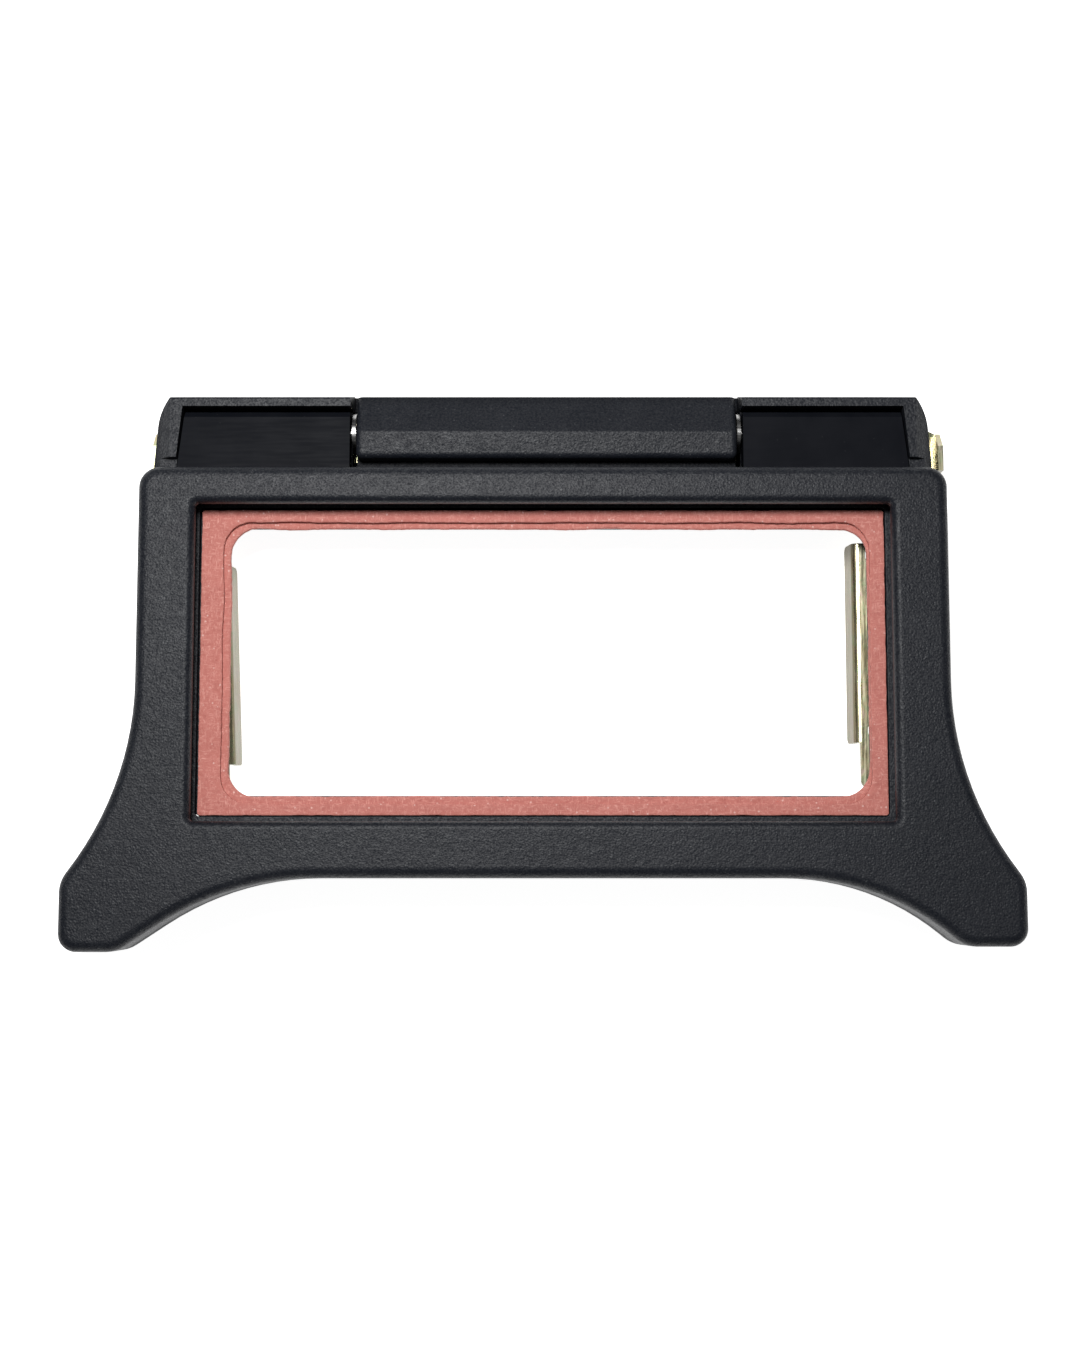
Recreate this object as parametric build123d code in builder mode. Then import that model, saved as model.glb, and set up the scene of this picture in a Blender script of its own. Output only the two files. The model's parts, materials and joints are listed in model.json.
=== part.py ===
"""Lift-front lens holder for one 2 x 4-1/4 inch (50.8 x 108 mm) welding plate in each of its two frames.

A black nylon base mounts on a helmet shell. A black nylon front frame with two splayed lifting feet swings
up on a steel hinge pin along the top edge. Two zinc-plated clips slide aside to free the plate in the base,
and a loose wire ring holds the plate in the front frame.

Millimetres. The holder lies on its back: +Z points out of the front, +Y points from the feet to the hinge,
and the rear mounting face is on z = 0. The origin is the middle of the outer box, on that face.
"""

from build123d import *
import os

os.makedirs("parts", exist_ok=True)

# Welding plate that both frames take.
PLATE_WIDTH = 108.0
PLATE_HEIGHT = 50.8
PLATE_SLACK = 0.6
WINDOW_Y = 0.25  # height of the window's centre above the origin
POCKET_HALF = PLATE_WIDTH / 2 + PLATE_SLACK
POCKET_BOTTOM = WINDOW_Y - PLATE_HEIGHT / 2 - PLATE_SLACK
POCKET_TOP = WINDOW_Y + PLATE_HEIGHT / 2 + PLATE_SLACK

# Heights above the rear face.
BASE_STEP_Z = 8.2  # ledge that the front frame's skirt comes down to
BASE_FRONT_Z = 14.0
LEDGE_REAR_Z = 10.8  # the base plate rests against this side of the window ledge
LEDGE_FRONT_Z = 12.4  # the gaskets lie on this side of it
SKIRT_Z = 8.6
FRAME_REAR_Z = 14.3
FACE_REAR_Z = 17.0
LIP_REAR_Z = 17.6
FRONT_Z = 19.5

# Front frame outline. Its right foot is a little shorter than its left one.
FRAME_TOP = 30.1
FRAME_HALF = 62.2
FLARE_Y = -19.1
FOOT_HALF = 73.0
FOOT_SHOULDER_Y = -33.4
LEFT_FOOT_BOTTOM = -44.0
RIGHT_FOOT_BOTTOM = -43.2
LEFT_TOE_X = 64.2
RIGHT_TOE_X = 63.5
LEFT_ARCH_X = 47.4
RIGHT_ARCH_X = 51.0
BAR_BOTTOM = -32.95
TOP_CORNER_R = 3.2
FLARE_R = 48.0
FOOT_SHOULDER_R = 5.0
FOOT_CORNER_R = 2.7
TOE_R = 5.0
LEFT_ARCH_R = 43.0
RIGHT_ARCH_R = 38.0
FRAME_WALL = 2.4
FRAME_EDGE_R = 1.7
SKIRT_TOP = 22.0  # the skirt stops short of the hinge so that the frame can swing up
SURROUND_HALF = 57.2  # solid surround of the plate pocket
SURROUND_BOTTOM = -29.2
RIB_SIZE = (14.0, 1.6)
RIB_REAR_Z = 12.0
RIB_PLACE = (65.3, -36.6)
RIB_TURN = 43.0

# Front opening and the lip that holds the plate.
LIP_HALF = 53.45
LIP_BOTTOM = WINDOW_Y - 24.65
LIP_TOP = WINDOW_Y + 24.15
LIP_EDGE_R = 1.2
LIP_CORNER_R = 0.6

# Loose spring-wire ring behind the lip, its two ends apart at the bottom.
WIRE_R = 0.4
WIRE_Z = 17.05
WIRE_HALF = POCKET_HALF - WIRE_R - 0.1
WIRE_TOP = POCKET_TOP - WIRE_R - 0.3
WIRE_BOTTOM = POCKET_BOTTOM + WIRE_R + 0.2
WIRE_BEND_R = 1.6
WIRE_END_X = 7.0

# Hinge.
AXIS_Y = 37.0
AXIS_Z = 10.0
PIN_R = 1.5
PIN_HALF = 56.0
PIN_CHAMFER = 0.3
PRESS_FIT = 0.02  # radial play where one piece is pressed into another
SADDLE_R = PIN_R + PRESS_FIT
RUNNING_FIT = 0.06
BORE_R = PIN_R + RUNNING_FIT
LOOSE_FIT = 0.05
END_PLAY = 0.2  # beyond the end of a pin, screw or rivet in its hole
BORE_PLAY = 0.4  # between the bushes the bore clears the pin by this much
HINGE_SHIFT = 0.55  # the barrel and the gaps beside it lie this far to the right of the middle
BARREL_HALF = 29.75
BARREL_X = (HINGE_SHIFT - BARREL_HALF, HINGE_SHIFT + BARREL_HALF)
BARREL_SECTION = (  # beside and above the axis, seen from the right
    (5.6, 2.0),
    (5.6, -2.3),
    (2.7, -5.3),
    (-2.7, -5.3),
    (-5.0, -2.4),
    (-8.4, -2.0),
    (-8.4, 4.9),
    (-6.9, 4.9),
    (-6.6, 1.4),
    (-4.7, 1.4),
    (-4.7, 4.6),
    (-0.65, 5.15),
)
BARREL_FRONT_R = 1.0
BARREL_END_R = 0.9
BUSH_R = 2.5
BUSH_LENGTH = 9.0
WASHER_R = 3.2
WASHER_X = (29.95, 30.5)  # from the barrel's middle
TROUGH_R = 6.4
TROUGH_ARM_Z = 7.2
TROUGH_REAR_Z = 5.6
KNUCKLE_X = 30.7  # inner end of each hinge housing, from the barrel's middle
CHEEK_X = (57.6, 56.5)  # inner face of each end cheek, at the lower and upper end of the cap
CHEEK_STEP_Y = (26.0, 32.6)  # the cheeks step down between these, beside the front frame's corners
CHEEK_STEP_X = 57.0
CHEEK_STEP_Z = 12.6

# Base outline.
BASE_HALF = 61.0
BASE_UPPER_HALF = 59.2
BASE_BOTTOM = -31.5
BASE_UPPER_BOTTOM = -29.8
BASE_CORNER_R = 2.0
BASE_UPPER_CORNER_R = 1.5
BASE_TOP = 26.6  # inside the hinge housing
HOUSING_BOTTOM = 22.6
HOUSING_HALF = 61.4
HOUSING_SHOULDER_Y = 30.0
HOUSING_TOP_HALF = 60.0
HOUSING_TOP = 44.0
HOUSING_CORNER_R = 7.0
HOUSING_DRAFT = ((44.0, 6.4), (42.1, 14.0))  # the rear wall leans in between these heights
HOUSING_RIM_R = 0.4
CHEEK_SLOPE = ((57.9, 14.5), (61.8, 10.9))  # the cheeks' outer sides lean in between these
RIDGE_Y = 40.7
ARM_GAP_Y = 28.0
LEDGE_HALF = 50.7
LEDGE_BOTTOM = -20.3
LEDGE_TOP = 21.6
LEDGE_CORNER_R = 4.0
SEAT_X = (-53.4, 53.2)
SEAT_Y = (-23.5, 24.5)
SEAT_CORNER_R = 0.6
SEAT_EDGE_R = 0.15
DRAIN_R = 0.8  # drain hole in the seat's lower left corner
DRAIN_PLACE = (-53.7, -23.9)

# Hinge caps.
CAP_INNER_X = 30.8  # from the barrel's middle
CAP_OUTER_X = (57.2, 56.1)  # at its lower and upper end
CAP_Y = (30.9, 39.8)
CAP_Z = (10.1, 13.9)
CAP_BEVEL = (0.85, 0.6)  # along the cap's front, and down its upper wall
CAP_GAP = 0.3  # between a cap and the lower wall of its pocket
CAP_SCREW_X = (38.0, 54.0)
CAP_SCREW_Y = 33.8
SCREW_R = 1.0
SCREW_HEAD_R = 2.2
SCREW_HEAD_HEIGHT = 1.6
SCREW_TIP_Z = 12.6
SCREW_HEAD_EDGE_R = 0.7
SCREW_SLOT = (2.6, 0.6)  # length and width of each slot of the cross
SCREW_SLOT_DEPTH = 0.7

# Detent spring, a plated strap under the hinge with an ear outside each cheek.
STRAP_Z = (2.8, 3.6)
STRAP_REACH = 63.1
STRAP_SHIFT = 0.8  # the strap lies this far to the right in its slotted holes
STRAP_Y = (31.8, 41.6)
STRAP_WAIST_Y = (33.8, 40.2)  # narrower between the cheeks, clear of the trough's corners
STRAP_WAIST_X = (28.0, 32.0)
STRAP_TAPER_X = 57.0
STRAP_HOLE = (4.6, 2.4)
STRAP_RECESS_Y = (31.4, 42.2)
EAR_Y = (31.8, 38.2)
EAR_TOP_Z = 7.4
EAR_CORNER_CUT = 2.4
STRAP_SLOT_Y = (33.6, 40.4)  # opening in the trough's floor where the strap meets the barrel

# Plate clips.
CLIP_THICK = 0.8
CLIP_FRONT_Z = 6.4
CLIP_TRAVEL = 4.0
CLIP_LIP_X = 49.3
CLIP_TAIL_X = 50.1
CLIP_OUTER_X = 60.5
CLIP_LIP_LENGTH = 31.8
CLIP_TAIL_LENGTH = 7.2
CLIP_LIP_REAR_Z = 2.0
CLIP_LIP_SPLAY = 0.65
CLIP_LIP_CORNER_R = 1.0
CLIP_BEND_R = 0.4  # inside the bend
CLIP_LAP = 2.0  # flat that belongs to the bent stretch
CLIP_CORNER_R = 1.2
CLIP_RECESS_Z = 6.6
CLIP_RECESS_Y = (-25.0, 25.0)
RIGHT_CLIP_Y = 4.3  # middle of the finger lip
LEFT_CLIP_Y = 0.5
LEFT_CLIP_TILT = 2.4
RIVET_X = 57.4
RIVET_PITCH = 28.0
RIVET_SHOULDER_R = 1.0
RIVET_SHANK_R = 0.88
RIVET_HEAD_R = 2.5
RIVET_HEAD_Z = (4.0, 5.2)
RIVET_TIP_Z = 11.0
RIVET_HEAD_EDGE_R = 0.8
CLIP_WASHER_R = 2.3
CLIP_WASHER_Z = (5.22, 5.5)
SLOT_R = 1.35
SLOT_PLAY = 0.8

# Gaskets.
GASKET_HALF = 53.08
GASKET_BOTTOM = -23.38
GASKET_TOP = 24.14
GASKET_THICK = 0.8
FRONT_GASKET_WINDOW = ((-49.6, 50.7), (-21.6, 22.2))
REAR_GASKET_WINDOW = ((-48.5, 50.5), (-20.4, 21.3))
GASKET_CORNER_R = 4.2
GASKET_OUTER_R = 0.4

# Mounting inserts, M3.
INSERT_X = 58.0
INSERT_Y = 28.6
INSERT_R = 2.0
INSERT_BORE_R = 1.3
INSERT_DEPTH = 6.0
INSERT_SUNK = 0.3

TINY = 1e-3


def corners_at(sketch, x, y):
    """The vertices of a sketch that lie at (x, y) or (-x, y)."""
    return [v for v in sketch.vertices() if abs(abs(v.X) - x) < TINY and abs(v.Y - y) < TINY]


def corner_near(sketch, x, y):
    """The vertex of a sketch that lies nearest to (x, y)."""
    return min(sketch.vertices(), key=lambda v: (v.X - x) ** 2 + (v.Y - y) ** 2)


def block(x_span, y_span, z_span, mode=Mode.ADD):
    """A box between two limits along each axis."""
    size = [span[1] - span[0] for span in (x_span, y_span, z_span)]
    with Locations((x_span[0], y_span[0], z_span[0])):
        Box(*size, align=(Align.MIN, Align.MIN, Align.MIN), mode=mode)


def side_blocks(x_span, y_span, z_span, mode=Mode.ADD):
    """The same box on the right and, mirrored, on the left."""
    block(x_span, y_span, z_span, mode)
    block((-x_span[1], -x_span[0]), y_span, z_span, mode)


def round_between(x_span, y_span, corner):
    """A rectangle with rounded corners between two limits along each axis."""
    with Locations(((x_span[0] + x_span[1]) / 2, (y_span[0] + y_span[1]) / 2)):
        RectangleRounded(x_span[1] - x_span[0], y_span[1] - y_span[0], corner)


def wedge_corners(inner_x, side, outer_x, y_span):
    """Corners of an outline whose outer end leans in from its lower to its upper side."""
    return (
        (inner_x, y_span[0]),
        (side * outer_x[0], y_span[0]),
        (side * outer_x[1], y_span[1]),
        (inner_x, y_span[1]),
    )


def post(x, y, radius, z_span, mode=Mode.ADD):
    """An upright cylinder at (x, y) between two heights."""
    with Locations((x, y, z_span[0])):
        Cylinder(
            radius, z_span[1] - z_span[0], align=(Align.CENTER, Align.CENTER, Align.MIN), mode=mode
        )


def rod(radius, x_span, mode=Mode.ADD):
    """A cylinder round the hinge axis between two places along it."""
    with Locations(Location(((x_span[0] + x_span[1]) / 2, AXIS_Y, AXIS_Z), (0, 90, 0))):
        Cylinder(radius, x_span[1] - x_span[0], mode=mode)


def faces_front(edge):
    """True for an edge of the barrel's end that lies on its front."""
    middle = edge.center()
    return middle.Z > AXIS_Z + 2.5 and AXIS_Y - 4.6 < middle.Y < AXIS_Y + 4.5


def on_seat_rim(edge):
    """True for an edge of the base's front face that borders the gasket seat."""
    middle = edge.center()
    inside = SEAT_X[0] - TINY < middle.X < SEAT_X[1] + TINY
    return inside and SEAT_Y[0] - TINY < middle.Y < SEAT_Y[1] + TINY and middle.Z > BASE_FRONT_Z - TINY


def save(part, name):
    """Name a finished piece and write its STEP file."""
    part.label = name
    export_step(part, f"parts/{name}.step")


# ---------------------------------------------------------------- front frame

with BuildSketch() as frame_outline:
    with BuildLine():
        Polyline(
            (-FRAME_HALF, FRAME_TOP),
            (FRAME_HALF, FRAME_TOP),
            (FRAME_HALF, FLARE_Y),
            (FOOT_HALF, FOOT_SHOULDER_Y),
            (FOOT_HALF, RIGHT_FOOT_BOTTOM),
            (RIGHT_TOE_X, RIGHT_FOOT_BOTTOM),
            (RIGHT_ARCH_X, BAR_BOTTOM),
            (-LEFT_ARCH_X, BAR_BOTTOM),
            (-LEFT_TOE_X, LEFT_FOOT_BOTTOM),
            (-FOOT_HALF, LEFT_FOOT_BOTTOM),
            (-FOOT_HALF, FOOT_SHOULDER_Y),
            (-FRAME_HALF, FLARE_Y),
            close=True,
        )
    make_face()
    for x, y, radius in (
        (FRAME_HALF, FRAME_TOP, TOP_CORNER_R),
        (FRAME_HALF, FLARE_Y, FLARE_R),
        (FOOT_HALF, FOOT_SHOULDER_Y, FOOT_SHOULDER_R),
        (FOOT_HALF, LEFT_FOOT_BOTTOM, FOOT_CORNER_R),
        (FOOT_HALF, RIGHT_FOOT_BOTTOM, FOOT_CORNER_R),
        (LEFT_TOE_X, LEFT_FOOT_BOTTOM, TOE_R),
        (RIGHT_TOE_X, RIGHT_FOOT_BOTTOM, TOE_R),
        (LEFT_ARCH_X, BAR_BOTTOM, LEFT_ARCH_R),
        (RIGHT_ARCH_X, BAR_BOTTOM, RIGHT_ARCH_R),
    ):
        fillet(corners_at(frame_outline, x, y), radius)

barrel_end = Plane(origin=(BARREL_X[0], AXIS_Y, AXIS_Z), x_dir=(0, 1, 0), z_dir=(1, 0, 0))
with BuildPart() as barrel:
    with BuildSketch(barrel_end):
        with BuildLine():
            Polyline(*BARREL_SECTION, close=True)
        make_face()
    extrude(amount=2 * BARREL_HALF)
    front_edges = barrel.edges().filter_by(Axis.X).filter_by(lambda e: e.center().Z > AXIS_Z + 4)
    fillet(front_edges.filter_by(lambda e: e.center().Y > AXIS_Y - 5), BARREL_FRONT_R)
    end_edges = barrel.edges().filter_by(lambda e: abs(e.center().X - HINGE_SHIFT) > BARREL_HALF - TINY)
    fillet(end_edges.filter_by(faces_front), BARREL_END_R)
    bore_x = (BARREL_X[0] - 1, BARREL_X[1] + 1)
    rod(PIN_R + BORE_PLAY, bore_x, Mode.SUBTRACT)
    rod(BUSH_R, (bore_x[0], BARREL_X[0] + BUSH_LENGTH), Mode.SUBTRACT)
    rod(BUSH_R, (BARREL_X[1] - BUSH_LENGTH, bore_x[1]), Mode.SUBTRACT)

with BuildPart() as lift_frame:
    # Moulded shell: rounded face, skirt all round, open at the rear.
    with BuildSketch(Plane.XY.offset(SKIRT_Z)):
        add(frame_outline.sketch)
    extrude(amount=FRONT_Z - SKIRT_Z)
    fillet(lift_frame.faces().sort_by(Axis.Z)[-1].edges(), FRAME_EDGE_R)
    with BuildSketch(Plane.XY.offset(SKIRT_Z)):
        offset(frame_outline.sketch, amount=-FRAME_WALL, kind=Kind.INTERSECTION)
    extrude(amount=FACE_REAR_Z - SKIRT_Z, mode=Mode.SUBTRACT)
    block((-FOOT_HALF, FOOT_HALF), (SKIRT_TOP, FRAME_TOP + 1), (SKIRT_Z, FRAME_REAR_Z), Mode.SUBTRACT)
    # Solid surround of the plate pocket, which is also the whole top bar.
    surround_y = (SURROUND_BOTTOM, FRAME_TOP - FRAME_EDGE_R)
    block((-SURROUND_HALF, SURROUND_HALF), surround_y, (FRAME_REAR_Z, FACE_REAR_Z))
    # One stiffening rib in each foot.
    for side in (-1, 1):
        rib_middle = (side * RIB_PLACE[0], RIB_PLACE[1], (RIB_REAR_Z + FACE_REAR_Z) / 2)
        with Locations(Location(rib_middle, (0, 0, -side * RIB_TURN))):
            Box(*RIB_SIZE, FACE_REAR_Z - RIB_REAR_Z)
    # Hinge barrel with its arm, on the top bar.
    add(barrel.part)
    # Plate pocket from the rear, then the opening with its rounded lip.
    block(
        (-POCKET_HALF, POCKET_HALF), (POCKET_BOTTOM, POCKET_TOP), (SKIRT_Z, LIP_REAR_Z), Mode.SUBTRACT
    )
    with BuildSketch(Plane.XY.offset(LIP_REAR_Z)):
        round_between((-LIP_HALF, LIP_HALF), (LIP_BOTTOM, LIP_TOP), LIP_CORNER_R)
    extrude(amount=FRONT_Z - LIP_REAR_Z, mode=Mode.SUBTRACT)
    front_face = lift_frame.faces().sort_by(Axis.Z)[-1]
    fillet(front_face.inner_wires()[0].edges(), LIP_EDGE_R)
save(lift_frame.part, "lift_frame")

with BuildPart() as retaining_wire:
    with BuildLine(Plane.XY.offset(WIRE_Z)) as wire_path:
        FilletPolyline(
            (-WIRE_END_X, WIRE_BOTTOM),
            (-WIRE_HALF, WIRE_BOTTOM),
            (-WIRE_HALF, WIRE_TOP),
            (WIRE_HALF, WIRE_TOP),
            (WIRE_HALF, WIRE_BOTTOM),
            (WIRE_END_X, WIRE_BOTTOM),
            radius=WIRE_BEND_R,
        )
    with BuildSketch(Plane(origin=wire_path.line @ 0, z_dir=wire_path.line % 0)):
        Circle(WIRE_R)
    sweep(path=wire_path.line)
save(retaining_wire.part, "plate_retaining_wire")

# ---------------------------------------------------------------- base

with BuildPart() as base_frame:
    # Mounting body, stepped in where the front frame's skirt comes down round it.
    with BuildSketch():
        round_between((-BASE_HALF, BASE_HALF), (BASE_BOTTOM, BASE_TOP), BASE_CORNER_R)
    extrude(amount=BASE_STEP_Z)
    with BuildSketch():
        upper_x = (-BASE_UPPER_HALF, BASE_UPPER_HALF)
        round_between(upper_x, (BASE_UPPER_BOTTOM, BASE_TOP), BASE_UPPER_CORNER_R)
    extrude(amount=BASE_FRONT_Z)
    # Hinge housing, full height and full width.
    with BuildSketch() as housing_outline:
        with BuildLine():
            Polyline(
                (-HOUSING_HALF, HOUSING_BOTTOM),
                (HOUSING_HALF, HOUSING_BOTTOM),
                (HOUSING_HALF, HOUSING_SHOULDER_Y),
                (HOUSING_TOP_HALF, HOUSING_TOP),
                (-HOUSING_TOP_HALF, HOUSING_TOP),
                (-HOUSING_HALF, HOUSING_SHOULDER_Y),
                close=True,
            )
        make_face()
        fillet(corners_at(housing_outline, HOUSING_TOP_HALF, HOUSING_TOP), HOUSING_CORNER_R)
    extrude(amount=BASE_FRONT_Z)
    with BuildSketch(Plane.YZ.offset(-HOUSING_HALF)):
        with BuildLine():
            Polyline(*HOUSING_DRAFT, (HOUSING_TOP, BASE_FRONT_Z), close=True)
        make_face()
    extrude(amount=2 * HOUSING_HALF, mode=Mode.SUBTRACT)
    with BuildSketch(Plane.XZ.offset(-HOUSING_TOP)):
        with BuildLine():
            Polyline(*CHEEK_SLOPE, (CHEEK_SLOPE[1][0], CHEEK_SLOPE[0][1]), close=True)
        make_face()
        mirror(about=Plane.YZ)
    extrude(amount=HOUSING_TOP - HOUSING_BOTTOM, mode=Mode.SUBTRACT)
    front_face = base_frame.faces().sort_by(Axis.Z)[-1]
    fillet(front_face.edges().sort_by(Axis.Y)[-1], HOUSING_RIM_R)
    # The cheeks step down beside the front frame's corners.
    step_x = (CHEEK_STEP_X, HOUSING_HALF + 1)
    side_blocks(step_x, CHEEK_STEP_Y, (CHEEK_STEP_Z, BASE_FRONT_Z + 1), Mode.SUBTRACT)
    # Trough for the barrel and its arm, open to the front.
    trough_x = (HINGE_SHIFT - KNUCKLE_X, HINGE_SHIFT + KNUCKLE_X)
    rod(TROUGH_R, trough_x, Mode.SUBTRACT)
    block(trough_x, (ARM_GAP_Y, AXIS_Y), (TROUGH_ARM_Z, BASE_FRONT_Z + 1), Mode.SUBTRACT)
    block(trough_x, (AXIS_Y, HOUSING_TOP + 1), (TROUGH_REAR_Z, BASE_FRONT_Z + 1), Mode.SUBTRACT)
    block(trough_x, STRAP_SLOT_Y, (0, AXIS_Z), Mode.SUBTRACT)
    # Saddles for the pin, with the caps' pockets above them.
    pocket_y = (CAP_Y[0] - CAP_GAP, RIDGE_Y)
    with BuildSketch(Plane.XY.offset(AXIS_Z)):
        for side in (-1, 1):
            with BuildLine():
                Polyline(*wedge_corners(side * (KNUCKLE_X - 2), side, CHEEK_X, pocket_y), close=True)
            make_face()
    extrude(amount=BASE_FRONT_Z - AXIS_Z, mode=Mode.SUBTRACT)
    rod(SADDLE_R, (-PIN_HALF - END_PLAY, PIN_HALF + END_PLAY), Mode.SUBTRACT)
    # Gasket seat, window, and the plate pocket at the rear.
    with BuildSketch(Plane.XY.offset(LEDGE_FRONT_Z)):
        round_between(SEAT_X, SEAT_Y, SEAT_CORNER_R)
    extrude(amount=BASE_FRONT_Z - LEDGE_FRONT_Z, mode=Mode.SUBTRACT)
    fillet(base_frame.edges().filter_by(on_seat_rim), SEAT_EDGE_R)
    with BuildSketch(Plane.XY.offset(LEDGE_REAR_Z)):
        round_between((-LEDGE_HALF, LEDGE_HALF), (LEDGE_BOTTOM, LEDGE_TOP), LEDGE_CORNER_R)
    extrude(amount=LEDGE_FRONT_Z - LEDGE_REAR_Z, mode=Mode.SUBTRACT)
    block((-POCKET_HALF, POCKET_HALF), (POCKET_BOTTOM, POCKET_TOP), (0, LEDGE_REAR_Z), Mode.SUBTRACT)
    post(*DRAIN_PLACE, DRAIN_R, (LEDGE_REAR_Z - 1, LEDGE_FRONT_Z + 1), Mode.SUBTRACT)
    # Side recesses for the clips, and their rivet holes.
    side_blocks((POCKET_HALF - 1, BASE_HALF + 1), CLIP_RECESS_Y, (0, CLIP_RECESS_Z), Mode.SUBTRACT)
    for x, middle in ((RIVET_X, RIGHT_CLIP_Y), (-RIVET_X, LEFT_CLIP_Y)):
        for y in (middle - RIVET_PITCH / 2, middle + RIVET_PITCH / 2):
            hole_z = (CLIP_RECESS_Z - 1, RIVET_TIP_Z + END_PLAY)
            post(x, y, RIVET_SHANK_R + PRESS_FIT, hole_z, Mode.SUBTRACT)
    # Recess for the detent spring, and the cap screws' holes.
    block((-HOUSING_HALF - 1, HOUSING_HALF + 1), STRAP_RECESS_Y, (0, STRAP_Z[1] + LOOSE_FIT), Mode.SUBTRACT)
    for x in CAP_SCREW_X:
        for side in (-1, 1):
            post(side * x, CAP_SCREW_Y, SCREW_R + LOOSE_FIT, (STRAP_Z[1], AXIS_Z + 1), Mode.SUBTRACT)
    # Holes for the mounting inserts.
    with GridLocations(2 * INSERT_X, 2 * INSERT_Y, 2, 2):
        Cylinder(
            INSERT_R,
            INSERT_DEPTH,
            align=(Align.CENTER, Align.CENTER, Align.MIN),
            mode=Mode.SUBTRACT,
        )
save(base_frame.part, "base_frame")

# ---------------------------------------------------------------- hinge

with BuildPart() as hinge_pin:
    rod(PIN_R, (-PIN_HALF, PIN_HALF))
    chamfer(hinge_pin.edges().filter_by(GeomType.CIRCLE), PIN_CHAMFER)
save(hinge_pin.part, "hinge_pin")

for side, name in ((-1, "hinge_cap_left"), (1, "hinge_cap_right")):
    with BuildPart() as hinge_cap:
        inner_x = side * CAP_INNER_X + HINGE_SHIFT
        with BuildSketch(Plane.XY.offset(CAP_Z[0])):
            with BuildLine():
                Polyline(*wedge_corners(inner_x, side, CAP_OUTER_X, CAP_Y), close=True)
            make_face()
        extrude(amount=CAP_Z[1] - CAP_Z[0])
        front_face = hinge_cap.faces().sort_by(Axis.Z)[-1]
        upper_edge = front_face.edges().filter_by(Axis.X).sort_by(Axis.Y)[-1]
        chamfer(upper_edge, *CAP_BEVEL, reference=front_face)
        rod(SADDLE_R, (-PIN_HALF - END_PLAY, PIN_HALF + END_PLAY), Mode.SUBTRACT)
        for x in CAP_SCREW_X:
            hole_z = (CAP_Z[0] - 1, SCREW_TIP_Z + END_PLAY)
            post(side * x, CAP_SCREW_Y, SCREW_R + PRESS_FIT, hole_z, Mode.SUBTRACT)
    save(hinge_cap.part, name)

for side, name in ((-1, "hinge_washer_left"), (1, "hinge_washer_right")):
    with BuildPart() as hinge_washer:
        x_span = sorted(HINGE_SHIFT + side * x for x in WASHER_X)
        rod(WASHER_R, x_span)
        rod(SADDLE_R, x_span, Mode.SUBTRACT)
    save(hinge_washer.part, name)

for side, name in ((-1, "barrel_bush_left"), (1, "barrel_bush_right")):
    with BuildPart() as barrel_bush:
        x_span = sorted(HINGE_SHIFT + side * x for x in (BARREL_HALF - BUSH_LENGTH, BARREL_HALF))
        rod(BUSH_R - PRESS_FIT, x_span)
        rod(BORE_R, x_span, Mode.SUBTRACT)
    save(barrel_bush.part, name)

with BuildPart() as cap_screws:
    head_z = STRAP_Z[0] - SCREW_HEAD_HEIGHT
    for side in (-1, 1):
        for x in CAP_SCREW_X:
            post(side * x, CAP_SCREW_Y, SCREW_HEAD_R, (head_z, STRAP_Z[0]))
            post(side * x, CAP_SCREW_Y, SCREW_R, (STRAP_Z[0], SCREW_TIP_Z))
    head_rims = cap_screws.edges().filter_by(GeomType.CIRCLE).group_by(Axis.Z)[0]
    fillet(head_rims, SCREW_HEAD_EDGE_R)
    for side in (-1, 1):
        for x in CAP_SCREW_X:
            with Locations((side * x, CAP_SCREW_Y, head_z + SCREW_SLOT_DEPTH / 2)):
                Box(SCREW_SLOT[0], SCREW_SLOT[1], SCREW_SLOT_DEPTH, mode=Mode.SUBTRACT)
                Box(SCREW_SLOT[1], SCREW_SLOT[0], SCREW_SLOT_DEPTH, mode=Mode.SUBTRACT)
save(cap_screws.part, "cap_screws")

with BuildPart() as detent_spring:
    left, right = STRAP_SHIFT - STRAP_REACH, STRAP_SHIFT + STRAP_REACH
    with BuildSketch(Plane.XY.offset(STRAP_Z[0])):
        with BuildLine():
            Polyline(
                (left, STRAP_Y[0]),
                (-STRAP_WAIST_X[1], STRAP_Y[0]),
                (-STRAP_WAIST_X[0], STRAP_WAIST_Y[0]),
                (STRAP_WAIST_X[0], STRAP_WAIST_Y[0]),
                (STRAP_WAIST_X[1], STRAP_Y[0]),
                (right, STRAP_Y[0]),
                (right, EAR_Y[1]),
                (STRAP_TAPER_X, STRAP_Y[1]),
                (STRAP_WAIST_X[1], STRAP_Y[1]),
                (STRAP_WAIST_X[0], STRAP_WAIST_Y[1]),
                (-STRAP_WAIST_X[0], STRAP_WAIST_Y[1]),
                (-STRAP_WAIST_X[1], STRAP_Y[1]),
                (-STRAP_TAPER_X, STRAP_Y[1]),
                (left, EAR_Y[1]),
                close=True,
            )
        make_face()
        for x in CAP_SCREW_X:
            with Locations((x, CAP_SCREW_Y), (-x, CAP_SCREW_Y)):
                SlotOverall(*STRAP_HOLE, mode=Mode.SUBTRACT)
    extrude(amount=STRAP_Z[1] - STRAP_Z[0])
    for x_span in ((left, left + CLIP_THICK), (right - CLIP_THICK, right)):
        block(x_span, EAR_Y, (STRAP_Z[1], EAR_TOP_Z))
        ear_top = detent_spring.faces().sort_by(Axis.Z)[-1].edges().filter_by(Axis.X)
        chamfer(ear_top.sort_by(Axis.Y)[-1], EAR_CORNER_CUT)
save(detent_spring.part, "detent_spring")

# ---------------------------------------------------------------- gaskets

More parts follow.
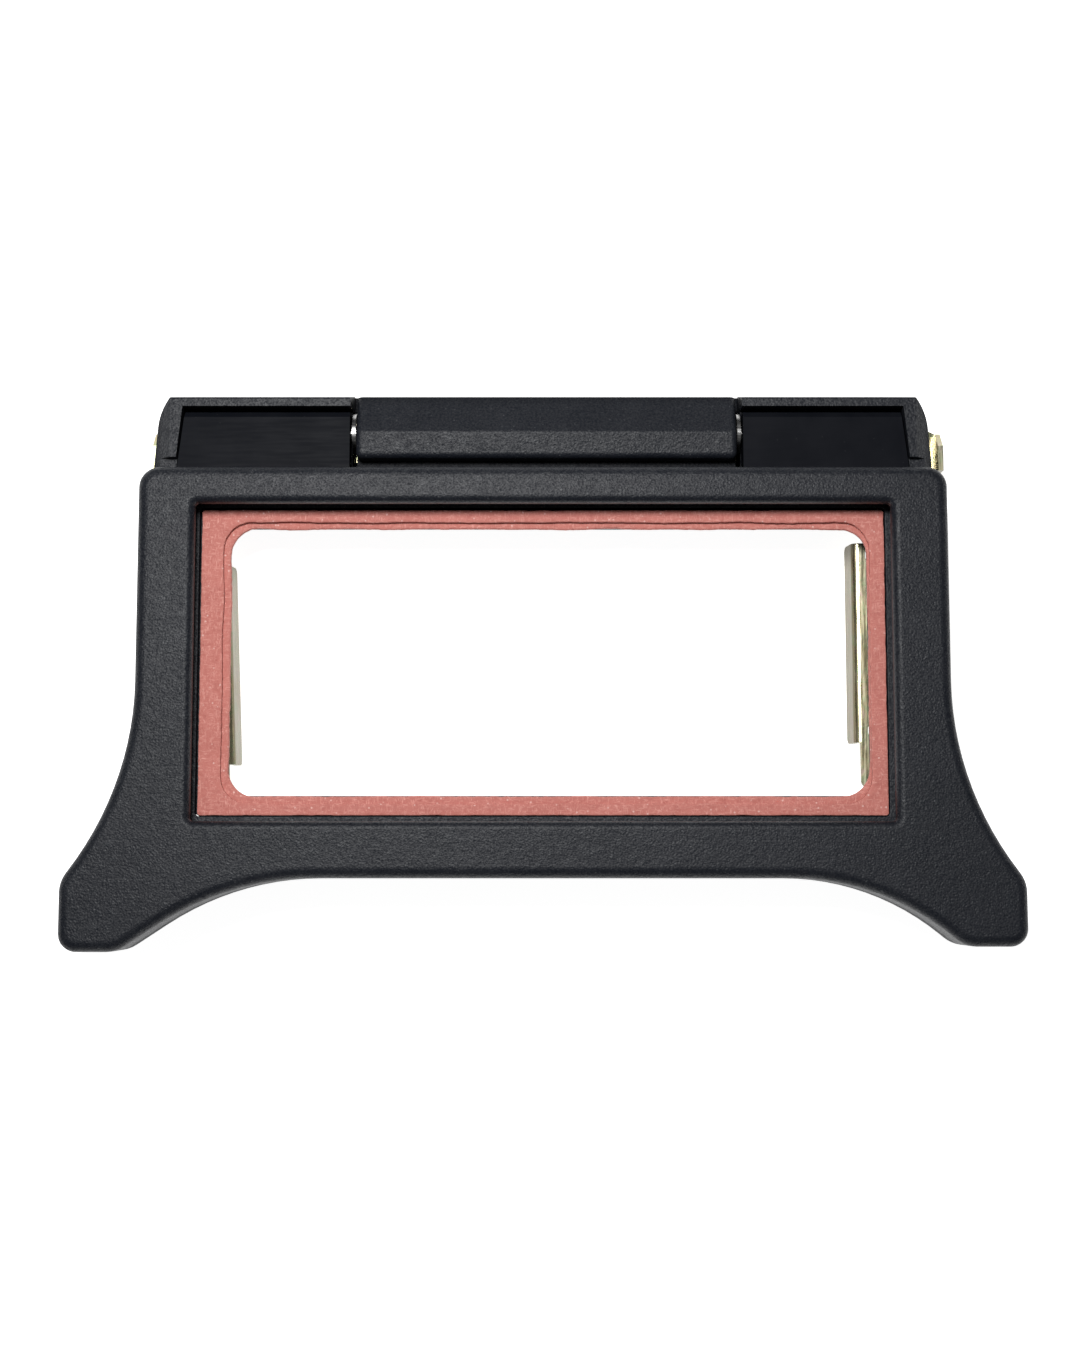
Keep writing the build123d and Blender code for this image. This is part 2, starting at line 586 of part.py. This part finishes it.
for name, z, window in (
    ("gasket_rear", LEDGE_FRONT_Z, REAR_GASKET_WINDOW),
    ("gasket_front", LEDGE_FRONT_Z + GASKET_THICK, FRONT_GASKET_WINDOW),
):
    with BuildPart() as gasket:
        with BuildSketch(Plane.XY.offset(z)):
            round_between((-GASKET_HALF, GASKET_HALF), (GASKET_BOTTOM, GASKET_TOP), GASKET_OUTER_R)
        extrude(amount=GASKET_THICK)
        with BuildSketch(Plane.XY.offset(z)):
            round_between(window[0], window[1], GASKET_CORNER_R)
        extrude(amount=GASKET_THICK, mode=Mode.SUBTRACT)
    save(gasket.part, name)

# ---------------------------------------------------------------- plate clips

for name, side, middle, tilt in (
    ("clip_right", 1, RIGHT_CLIP_Y, 0.0),
    ("clip_left", -1, LEFT_CLIP_Y, LEFT_CLIP_TILT),
):
    lip_span = (-CLIP_LIP_LENGTH / 2, CLIP_LIP_LENGTH / 2)
    tail_end = lip_span[0] - CLIP_TAIL_LENGTH
    placing = Plane(Location((side * RIVET_X, middle, CLIP_FRONT_Z - CLIP_THICK), (0, 0, tilt)))
    # Places across the clip, measured from its rivets.
    outer = side * (CLIP_OUTER_X - RIVET_X)
    tail = side * (CLIP_TAIL_X - RIVET_X)
    bend = side * (CLIP_LIP_X - RIVET_X)
    lap = bend + side * CLIP_LAP
    lip_tip = bend - side * CLIP_LIP_SPLAY
    with BuildPart() as clip:
        # Flat body with its tail.
        with BuildSketch(placing) as clip_body:
            with BuildLine():
                Polyline(
                    (lap, lip_span[1]),
                    (outer, lip_span[1]),
                    (outer, tail_end),
                    (tail, tail_end),
                    (tail, lip_span[0]),
                    (lap, lip_span[0]),
                    close=True,
                )
            make_face()
            corners = [v for v in clip_body.vertices() if v.X * side > 0 or v.Y < tail_end + TINY]
            fillet(corners, CLIP_CORNER_R)
            for y in (-RIVET_PITCH / 2, RIVET_PITCH / 2):
                with Locations((-side * CLIP_TRAVEL / 2, y)):
                    SlotCenterToCenter(CLIP_TRAVEL + 2 * SLOT_PLAY, 2 * SLOT_R, mode=Mode.SUBTRACT)
        extrude(amount=CLIP_THICK)
        # Finger lip, bent to the rear and splayed into the window.
        with BuildSketch(placing * Location((0, lip_span[1], 0), (90, 0, 0))) as lip_section:
            with BuildLine():
                lip_depth = CLIP_LIP_REAR_Z - (CLIP_FRONT_Z - CLIP_THICK)
                Polyline(
                    (lap, 0),
                    (lap, CLIP_THICK),
                    (bend, CLIP_THICK),
                    (lip_tip, lip_depth),
                    (lip_tip + side * CLIP_THICK, lip_depth),
                    (bend + side * CLIP_THICK, 0),
                    close=True,
                )
            make_face()
            fillet(corner_near(lip_section, bend, CLIP_THICK), CLIP_BEND_R + CLIP_THICK)
            fillet(corner_near(lip_section, bend + side * CLIP_THICK, 0), CLIP_BEND_R)
        extrude(amount=CLIP_LIP_LENGTH)
        tip_edges = clip.edges().group_by(Axis.Z)[0]
        fillet(tip_edges.filter_by(lambda e: e.length < 2 * CLIP_THICK), CLIP_LIP_CORNER_R)
    save(clip.part, name)

for name, x, middle in (
    ("clip_rivets_right", RIVET_X, RIGHT_CLIP_Y),
    ("clip_rivets_left", -RIVET_X, LEFT_CLIP_Y),
):
    with BuildPart() as rivets:
        for y in (middle - RIVET_PITCH / 2, middle + RIVET_PITCH / 2):
            post(x, y, RIVET_HEAD_R, RIVET_HEAD_Z)
            post(x, y, RIVET_SHOULDER_R, (RIVET_HEAD_Z[1], CLIP_RECESS_Z))
            post(x, y, RIVET_SHANK_R, (CLIP_RECESS_Z, RIVET_TIP_Z))
        fillet(rivets.edges().filter_by(GeomType.CIRCLE).group_by(Axis.Z)[0], RIVET_HEAD_EDGE_R)
    save(rivets.part, name)

for name, x, middle in (
    ("clip_washers_right", RIVET_X, RIGHT_CLIP_Y),
    ("clip_washers_left", -RIVET_X, LEFT_CLIP_Y),
):
    with BuildPart() as washers:
        for y in (middle - RIVET_PITCH / 2, middle + RIVET_PITCH / 2):
            post(x, y, CLIP_WASHER_R, CLIP_WASHER_Z)
            post(x, y, RIVET_SHOULDER_R + RUNNING_FIT, CLIP_WASHER_Z, Mode.SUBTRACT)
    save(washers.part, name)

# ---------------------------------------------------------------- mounting inserts

with BuildPart() as mounting_inserts:
    with BuildSketch():
        with GridLocations(2 * INSERT_X, 2 * INSERT_Y, 2, 2):
            Circle(INSERT_R - PRESS_FIT)
            Circle(INSERT_BORE_R, mode=Mode.SUBTRACT)
    extrude(amount=INSERT_DEPTH - INSERT_SUNK)
save(mounting_inserts.part, "mounting_inserts")
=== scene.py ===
"""The looks of the lift-front lens holder: materials, fibre gaskets, floor, light and camera, in metres."""

import json
from math import cos, pi, radians, sin

import bmesh
import bpy
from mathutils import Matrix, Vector, noise


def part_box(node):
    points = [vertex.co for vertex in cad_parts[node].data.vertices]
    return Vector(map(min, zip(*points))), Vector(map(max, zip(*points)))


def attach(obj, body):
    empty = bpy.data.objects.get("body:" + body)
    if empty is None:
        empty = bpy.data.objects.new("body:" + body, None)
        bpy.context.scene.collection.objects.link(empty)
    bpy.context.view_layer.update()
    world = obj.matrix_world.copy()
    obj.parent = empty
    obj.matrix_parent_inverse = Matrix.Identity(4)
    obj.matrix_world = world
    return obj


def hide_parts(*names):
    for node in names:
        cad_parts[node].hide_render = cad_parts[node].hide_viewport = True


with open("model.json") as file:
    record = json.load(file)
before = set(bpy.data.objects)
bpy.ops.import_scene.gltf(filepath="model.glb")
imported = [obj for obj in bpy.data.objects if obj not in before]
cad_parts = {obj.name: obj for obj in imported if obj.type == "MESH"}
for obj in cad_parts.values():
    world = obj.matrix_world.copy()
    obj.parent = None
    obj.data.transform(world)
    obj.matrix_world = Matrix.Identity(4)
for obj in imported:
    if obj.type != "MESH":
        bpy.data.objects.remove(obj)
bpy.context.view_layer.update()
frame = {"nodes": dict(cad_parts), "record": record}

NODES = frame["nodes"]
MM = 0.001


# ---------------------------------------------------------------- material helpers


class Recipe:
    """A node material under construction. Textures read the part's own coordinates, in metres."""

    def __init__(self, name):
        self.material = bpy.data.materials.new(name)
        self.material.use_nodes = True
        self.nodes = self.material.node_tree.nodes
        self.links = self.material.node_tree.links
        self.nodes.clear()
        coordinates = self.add("TexCoord")
        self.place = coordinates.outputs["Object"]
        self.normal = coordinates.outputs["Normal"]

    def add(self, kind, values=None, **settings):
        """A shader node with its settings, and its inputs set or linked."""
        node = self.nodes.new("ShaderNode" + kind)
        for key, value in settings.items():
            setattr(node, key, value)
        for key, value in (values or {}).items():
            if isinstance(value, bpy.types.NodeSocket):
                self.links.new(value, node.inputs[key])
            else:
                node.inputs[key].default_value = value
        return node

    def stretched(self, scale):
        """The part's coordinates times a scale for each axis: under 1 draws a texture out along it."""
        return self.add("Mapping", {"Vector": self.place, "Scale": scale}).outputs["Vector"]

    def noise(self, size, detail=2.0, rough=0.5, place=None, distortion=0.0):
        """Noise from 0 to 1 whose blotches are about size metres across."""
        values = {
            "Vector": place or self.place,
            "Scale": 1 / size,
            "Detail": detail,
            "Roughness": rough,
            "Distortion": distortion,
        }
        return self.add("TexNoise", values).outputs["Fac"]

    def cells(self, size):
        """Distance from the nearest of scattered points about size metres apart, 0 at a point."""
        values = {"Vector": self.place, "Scale": 1 / size, "Randomness": 1.0}
        return self.add("TexVoronoi", values).outputs["Distance"]

    def math(self, operation, first, second=0.0):
        """The result of one arithmetic step."""
        return self.add("Math", {0: first, 1: second}, operation=operation).outputs[0]

    def span(self, value, low, high, to_low=0.0, to_high=1.0):
        """Value mapped from one span to another, with soft ends."""
        values = {
            "Value": value,
            "From Min": low,
            "From Max": high,
            "To Min": to_low,
            "To Max": to_high,
        }
        return self.add("MapRange", values, interpolation_type="SMOOTHSTEP").outputs["Result"]

    def mix(self, share, first, second, blend="MIX"):
        """Two colours mixed, with a share of 0 for the first alone and 1 for the second."""
        node = self.add("Mix", data_type="RGBA", blend_type=blend)
        for socket, value in ((node.inputs[0], share), (node.inputs[6], first), (node.inputs[7], second)):
            if isinstance(value, bpy.types.NodeSocket):
                self.links.new(value, socket)
            elif isinstance(value, tuple):
                socket.default_value = (*value, 1.0)
            else:
                socket.default_value = value
        return node.outputs[2]

    def bump(self, height, depth, normal=None):
        """A normal pushed about by a height of up to depth metres."""
        values = {"Height": height, "Distance": depth, "Strength": 1.0}
        if normal is not None:
            values["Normal"] = normal
        return self.add("Bump", values).outputs["Normal"]

    def finish(self, values):
        """The material, with a principled shader that has these inputs."""
        shader = self.add("BsdfPrincipled", values)
        output = self.add("OutputMaterial", {"Surface": shader.outputs["BSDF"]})
        output.target = "ALL"
        return self.material


# ---------------------------------------------------------------- materials


def black_nylon():
    """Moulded black nylon: spark-eroded grain, paler scuffs, a few bright specks, and painted shade low
    down.
    """
    dark = (0.0050, 0.0064, 0.0102)
    pale = (0.0078, 0.0092, 0.0132)
    scuffed = (0.016, 0.0185, 0.023)
    chalky = (0.09, 0.093, 0.098)
    recess_shade_tone = (0.003, 0.0035, 0.005)
    shade_full_height = 11 * MM  # at this height and below, painted shade darkens the colour most and dulls the shine
    shade_end_height = 13 * MM

    r = Recipe("black_nylon")
    blotches = r.noise(7 * MM, 3.0)
    mottle = r.noise(1.1 * MM, 3.0, 0.6)
    grain = r.noise(0.3 * MM, 2.0, 0.6)
    pits = r.cells(0.5 * MM)
    specks = r.span(r.cells(1.2 * MM), 0.13, 0.05)
    tone = r.mix(r.span(blotches, 0.3, 0.7), dark, pale)
    tone = r.mix(r.span(mottle, 0.5, 0.8, 0.0, 0.6), tone, scuffed)
    tone = r.mix(r.math("MULTIPLY", specks, 0.4), tone, chalky)
    rough = r.span(mottle, 0.3, 0.75, 0.54, 0.46)
    shine = r.span(grain, 0.3, 0.7, 0.14, 0.40)
    height = r.add("SeparateXYZ", {0: r.place}).outputs["Z"]
    # Painted shade: below about 13 mm height the colour darkens and the shine dulls, standing in for the
    # shade in the deep recesses round the hinge.
    clean_unshaded = r.span(height, shade_full_height, shade_end_height, 0.2, 1.0)
    tone = r.mix(clean_unshaded, recess_shade_tone, tone)
    shine = r.math("MULTIPLY", shine, clean_unshaded)
    normal = r.bump(grain, 0.06 * MM)
    normal = r.bump(mottle, 0.08 * MM, normal)
    normal = r.bump(r.span(pits, 0.1, 0.5), 0.02 * MM, normal)
    normal = r.bump(blotches, 0.06 * MM, normal)
    return r.finish({"Base Color": tone, "Roughness": rough, "Normal": normal, "Specular IOR Level": shine})


def smooth_nylon():
    """Flat black nylon with faint handling scratches and a little dust."""
    dark = (0.0042, 0.0048, 0.0070)
    pale = (0.0062, 0.0068, 0.0092)
    dusty = (0.06, 0.06, 0.062)

    r = Recipe("smooth_nylon")
    haze = r.noise(5 * MM, 3.0)
    scratches = r.noise(0.5 * MM, 3.0, 0.6, r.stretched((0.08, 1.0, 1.0)))
    dust = r.span(r.cells(1.6 * MM), 0.07, 0.03)
    tone = r.mix(r.span(haze, 0.3, 0.7), dark, pale)
    tone = r.mix(r.math("MULTIPLY", dust, 0.25), tone, dusty)
    rough = r.span(scratches, 0.3, 0.7, 0.44, 0.52)
    normal = r.bump(scratches, 0.004 * MM)
    normal = r.bump(haze, 0.02 * MM, normal)
    return r.finish({"Base Color": tone, "Roughness": rough, "Normal": normal, "Specular IOR Level": 0.03})


def red_fibre():
    """Red fibre sheet: felted short fibres, pale specks, and darker soaked patches."""
    clean_unshaded = (0.48, 0.17, 0.142)
    soaked = (0.40, 0.135, 0.112)
    raised = (0.70, 0.34, 0.29)
    sunken = (0.30, 0.075, 0.062)
    clouded = (0.33, 0.09, 0.075)
    bleached = (0.85, 0.62, 0.56)

    r = Recipe("red_fibre")
    along = r.noise(0.26 * MM, 3.0, 0.65, r.stretched((1.0, 0.28, 1.0)), 0.8)
    across = r.noise(0.26 * MM, 3.0, 0.65, r.stretched((0.28, 1.0, 1.0)), 0.8)
    fibres = r.math("MAXIMUM", along, across)
    blotches = r.noise(7 * MM, 4.0, 0.55)
    cloud = r.noise(1.2 * MM, 3.0, 0.6)
    specks = r.span(r.cells(1.3 * MM), 0.16, 0.05)
    tone = r.mix(r.span(blotches, 0.35, 0.7, 0.0, 0.4), clean_unshaded, soaked)
    tone = r.mix(r.span(fibres, 0.5, 0.75, 0.0, 0.75), tone, raised)
    tone = r.mix(r.span(fibres, 0.45, 0.3, 0.0, 0.6), tone, sunken)
    tone = r.mix(r.span(cloud, 0.5, 0.3, 0.0, 0.3), tone, clouded)
    tone = r.mix(r.math("MULTIPLY", specks, 0.5), tone, bleached)
    normal = r.bump(fibres, 0.07 * MM)
    normal = r.bump(cloud, 0.09 * MM, normal)
    rough = r.span(fibres, 0.3, 0.8, 0.9, 0.75)
    return r.finish({"Base Color": tone, "Roughness": rough, "Normal": normal, "Specular IOR Level": 0.2})


def zinc_plate():
    """Yellow-passivated zinc on rolled spring steel: an olive gold film that turns green and pink, with
    painted shade on its steep faces.
    """
    gold = (0.60, 0.52, 0.30)
    olive = (0.62, 0.60, 0.40)
    green = (0.42, 0.58, 0.30)
    pink = (0.66, 0.40, 0.46)
    worn = (0.82, 0.80, 0.66)
    steep_face_shade = (0.20, 0.19, 0.175)  # painted shade: darkens the steeply sloping faces, such as the bent-up strips

    r = Recipe("zinc_plate")
    drift = r.noise(9 * MM, 2.0, 0.5, distortion=1.0)
    film = r.noise(2.2 * MM, 3.0, 0.6, distortion=1.5)
    rolling = r.noise(0.35 * MM, 3.0, 0.6, r.stretched((1.0, 0.06, 1.0)))
    tone = r.mix(r.span(drift, 0.35, 0.65), gold, olive)
    tone = r.mix(r.span(film, 0.52, 0.66, 0.0, 0.55), tone, green)
    tone = r.mix(r.span(film, 0.45, 0.32, 0.0, 0.5), tone, pink)
    tone = r.mix(r.span(rolling, 0.4, 0.7, 0.0, 0.35), tone, worn)
    # Painted shade: faces that slope far from flat, such as the bent-up strips, are darkened.
    facing = r.add("SeparateXYZ", {0: r.normal}).outputs["Z"]
    flat = r.span(r.math("ABSOLUTE", facing), 0.5, 0.9)
    shaded_steep_tone = r.mix(1.0, tone, steep_face_shade, "MULTIPLY")
    tone = r.mix(flat, shaded_steep_tone, tone)
    rough = r.span(rolling, 0.3, 0.7, 0.22, 0.36)
    normal = r.bump(rolling, 0.01 * MM)
    normal = r.bump(film, 0.02 * MM, normal)
    return r.finish({"Base Color": tone, "Metallic": 1.0, "Roughness": rough, "Normal": normal})


def bright_steel():
    """Drawn bright steel with fine lines along the part and light tarnish."""
    bright = (0.30, 0.30, 0.295)
    tarnished = (0.17, 0.155, 0.14)

    r = Recipe("bright_steel")
    lines = r.noise(0.25 * MM, 3.0, 0.6, r.stretched((0.05, 1.0, 1.0)))
    tarnish = r.noise(3 * MM, 3.0, 0.6)
    tone = r.mix(r.span(tarnish, 0.45, 0.75, 0.0, 0.5), bright, tarnished)
    rough = r.span(lines, 0.3, 0.7, 0.18, 0.34)
    normal = r.bump(lines, 0.008 * MM)
    return r.finish({"Base Color": tone, "Metallic": 1.0, "Roughness": rough, "Normal": normal})


def bearing_plastic():
    """Natural acetal, turned: off white with fine tool rings."""
    natural = (0.72, 0.71, 0.66)
    stained = (0.55, 0.52, 0.44)

    r = Recipe("bearing_plastic")
    rings = r.noise(0.12 * MM, 1.0, 0.5, r.stretched((1.0, 0.02, 0.02)))
    stain = r.noise(2 * MM, 3.0)
    tone = r.mix(r.span(stain, 0.4, 0.75, 0.0, 0.6), natural, stained)
    normal = r.bump(rings, 0.01 * MM)
    rough = r.span(rings, 0.3, 0.7, 0.28, 0.4)
    return r.finish({"Base Color": tone, "Roughness": rough, "Normal": normal})


def insert_brass():
    """Machined brass, a little dulled."""
    bright = (0.72, 0.52, 0.24)
    dulled = (0.42, 0.28, 0.12)

    r = Recipe("insert_brass")
    dull = r.noise(1.6 * MM, 4.0, 0.6)
    turning = r.noise(0.15 * MM, 2.0, 0.5, r.stretched((0.4, 0.4, 1.0)))
    tone = r.mix(r.span(dull, 0.4, 0.75, 0.0, 0.7), bright, dulled)
    rough = r.span(dull, 0.3, 0.8, 0.22, 0.48)
    normal = r.bump(turning, 0.01 * MM)
    return r.finish({"Base Color": tone, "Metallic": 1.0, "Roughness": rough, "Normal": normal})


RECIPES = (
    black_nylon,
    smooth_nylon,
    red_fibre,
    zinc_plate,
    bright_steel,
    bearing_plastic,
    insert_brass,
)
MATERIALS = {recipe.__name__: recipe() for recipe in RECIPES}
SLOT_OF = {part["node"]: part["material_slot"] for part in frame["record"]["subparts"]}
for name, node in NODES.items():
    node.data.materials.clear()
    node.data.materials.append(MATERIALS[SLOT_OF[name]])


# ---------------------------------------------------------------- fibre gaskets

SHEET_CORNER = 0.4 * MM  # radius of a gasket's outer corners
WINDOW_CORNER = 4.2 * MM  # radius of its window's corners
CORNER_STEPS = 24  # faces round each corner
POINT_GAP = 0.25 * MM  # between points along a straight side
FLAT_STEPS = 6  # rows of faces across the flat
CUT_ROUND_WIDTH = 0.16 * MM  # how far in from a cut edge its rounding starts
CUT_ROUND_DEPTH = 0.13 * MM  # how far down the cut edge its rounding ends
SAG = 0.03 * MM  # how far the face lies below the plain ring's, on average
# Unevenness, as waves with a length and a depth each.
WINDOW_WAVES = ((7 * MM, 0.22 * MM), (0.8 * MM, 0.07 * MM))
SHEET_WAVES = ((4 * MM, 0.14 * MM), (0.7 * MM, 0.05 * MM))
FACE_WAVES = ((5 * MM, 0.03 * MM),)
FACE_SEED = 9  # added to a gasket's seed for the waves of its face


def window_of(node):
    """The low and high corners of the window in a plain CAD ring."""
    low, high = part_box(node)
    inset = 2 * SHEET_CORNER
    edge = [
        vertex.co
        for vertex in NODES[node].data.vertices
        if all(low[axis] + inset < vertex.co[axis] < high[axis] - inset for axis in (0, 1))
    ]
    return [[end(point[axis] for point in edge) for axis in (0, 1)] for end in (min, max)]


def rounded_loop(low, high, corner, side_steps):
    """Points and outward directions round a rectangle with rounded corners, anticlockwise."""
    centres = (
        (high[0] - corner, low[1] + corner),
        (high[0] - corner, high[1] - corner),
        (low[0] + corner, high[1] - corner),
        (low[0] + corner, low[1] + corner),
    )
    points = []
    for turn, centre in enumerate(centres):
        start = (turn - 1) * pi / 2
        for step in range(CORNER_STEPS + 1):
            angle = start + pi / 2 * step / CORNER_STEPS
            out = Vector((cos(angle), sin(angle)))
            points.append((Vector(centre) + out * corner, out))
        last, out = points[-1]
        following = centres[(turn + 1) % 4]
        goal = Vector(following) + out * corner
        steps = side_steps[turn % 2]
        points += [(last.lerp(goal, step / steps), out) for step in range(1, steps)]
    return points


def waver(point, waves, seed):
    """Smooth unevenness at a point, of up to about the waves' depths either way."""
    return sum(
        depth * noise.noise(Vector((point.x / length, point.y / length, seed)))
        for length, depth in waves
    )


def section(width, thickness):
    """A gasket's section from window to outer edge: shares of the width, and depths below the face."""
    shares = [0.0, 0.0, CUT_ROUND_WIDTH / 3 / width, CUT_ROUND_WIDTH / width]
    depths = [thickness, CUT_ROUND_DEPTH, CUT_ROUND_DEPTH / 3, 0.0]
    far_shares = [1 - share for share in reversed(shares)]
    far_depths = list(reversed(depths))
    flat = [step / FLAT_STEPS for step in range(1, FLAT_STEPS)]
    return zip(shares + flat + far_shares, depths + [0.0] * len(flat) + far_depths)


def gasket_rows(node, seed):
    """Rows of points round a ring cut from fibre sheet, each row one section, with uneven cut edges."""
    low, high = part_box(node)
    side_steps = [int((high[axis] - low[axis]) / POINT_GAP) for axis in (1, 0)]
    window = rounded_loop(*window_of(node), WINDOW_CORNER, side_steps)
    sheet = rounded_loop(low.xy, high.xy, SHEET_CORNER, side_steps)
    rows = []
    for (near, near_out), (far, far_out) in zip(window, sheet):
        near = near + near_out * waver(near, WINDOW_WAVES, seed)
        far = far - far_out * abs(waver(far, SHEET_WAVES, seed))
        across = far - near
        row = []
        for share, depth in section(across.length, high.z - low.z):
            spot = near + across * share
            sag = SAG + waver(spot, FACE_WAVES, seed + FACE_SEED)
            if depth > CUT_ROUND_DEPTH:  # the underside lies flat
                sag = 0.0
            row.append((spot.x, spot.y, high.z - depth - sag))
        rows.append(row)
    return rows


def gasket(node, seed):
    """A ring cut from fibre sheet, with uneven cut edges, in place of the plain CAD ring."""
    mesh = bmesh.new()
    rows = [[mesh.verts.new(point) for point in row] for row in gasket_rows(node, seed)]
    for row, following in zip(rows, rows[1:] + rows[:1]):
        for step in range(len(row)):
            after = (step + 1) % len(row)
            mesh.faces.new((row[step], following[step], following[after], row[after]))
    bmesh.ops.recalc_face_normals(mesh, faces=mesh.faces)
    data = bpy.data.meshes.new(node + "_fibre")
    mesh.to_mesh(data)
    mesh.free()
    data.materials.append(MATERIALS["red_fibre"])
    for face in data.polygons:
        face.use_smooth = True
    piece = bpy.data.objects.new(node + "_fibre", data)
    bpy.context.scene.collection.objects.link(piece)
    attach(piece, "base")
    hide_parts(node)


gasket("gasket_rear", seed=3.0)
gasket("gasket_front", seed=20.0)


# ---------------------------------------------------------------- camera, floor and light

CAMERA_PLACE = (-0.46 * MM, -34.0 * MM, 321.2 * MM)
CAMERA_TILT = radians(6)  # from straight down, towards the hinge
CAMERA_SENSOR = 36  # the sensor and the lens are in millimetres
CAMERA_LENS = 53.33
CAMERA_NEAR = 10 * MM

FLOOR_HALF = 1.5
FLOOR_DROP = 0.05 * MM  # keeps the sheet clear of the holder's underside
FLOOR_GLOW = 0.93  # the sheet is lit from behind as well, so shadows on it stay pale
PAPER_TONES = ((0.86, 0.86, 0.86), (0.88, 0.88, 0.88))

KEY_PLACE = (-40 * MM, 84 * MM, 321 * MM)
KEY_AIM = (0, 0, 10 * MM)
KEY_SIZE = 70 * MM
KEY_POWER = 1.22
WHITE = (1.0, 1.0, 1.0, 1.0)
WORLD_STRENGTH = 0.12


def camera():
    """The camera, above the holder and a little to the feet's side of it."""
    obj = bpy.data.objects.new("camera", bpy.data.cameras.new("camera"))
    obj.location = CAMERA_PLACE
    obj.rotation_euler = (CAMERA_TILT, 0, 0)
    obj.data.sensor_width = CAMERA_SENSOR
    obj.data.lens = CAMERA_LENS
    obj.data.clip_start = CAMERA_NEAR
    bpy.context.scene.collection.objects.link(obj)
    bpy.context.scene.camera = obj


def floor():
    """A pale, softly backlit sheet that the holder lies on."""
    mesh = bpy.data.meshes.new("floor")
    corners = [(x * FLOOR_HALF, y * FLOOR_HALF, 0) for x, y in ((-1, -1), (1, -1), (1, 1), (-1, 1))]
    mesh.from_pydata(corners, [], [(0, 1, 2, 3)])
    obj = bpy.data.objects.new("floor", mesh)
    bpy.context.scene.collection.objects.link(obj)
    r = Recipe("floor_paper")
    values = {
        "Base Color": r.mix(r.span(r.noise(40 * MM), 0.3, 0.7), *PAPER_TONES),
        "Roughness": 0.9,
        "Specular IOR Level": 0.1,
        "Emission Color": WHITE,
        "Emission Strength": FLOOR_GLOW,
    }
    mesh.materials.append(r.finish(values))
    obj.location.z = -FLOOR_DROP


def key_light():
    """A square softbox above the hinge's side of the holder, turned to the holder."""
    data = bpy.data.lights.new("key", "AREA")
    data.shape = "SQUARE"
    data.size = KEY_SIZE
    data.energy = KEY_POWER
    obj = bpy.data.objects.new("key", data)
    obj.location = KEY_PLACE
    obj.rotation_euler = (Vector(KEY_AIM) - Vector(KEY_PLACE)).to_track_quat("-Z", "Y").to_euler()
    bpy.context.scene.collection.objects.link(obj)


def white_room():
    """Faint even light from all round."""
    world = bpy.data.worlds.new("studio")
    world.use_nodes = True
    background = world.node_tree.nodes["Background"]
    background.inputs["Color"].default_value = WHITE
    background.inputs["Strength"].default_value = WORLD_STRENGTH
    bpy.context.scene.world = world


camera()
floor()
key_light()
white_room()
bpy.context.scene.view_settings.view_transform = "Standard"
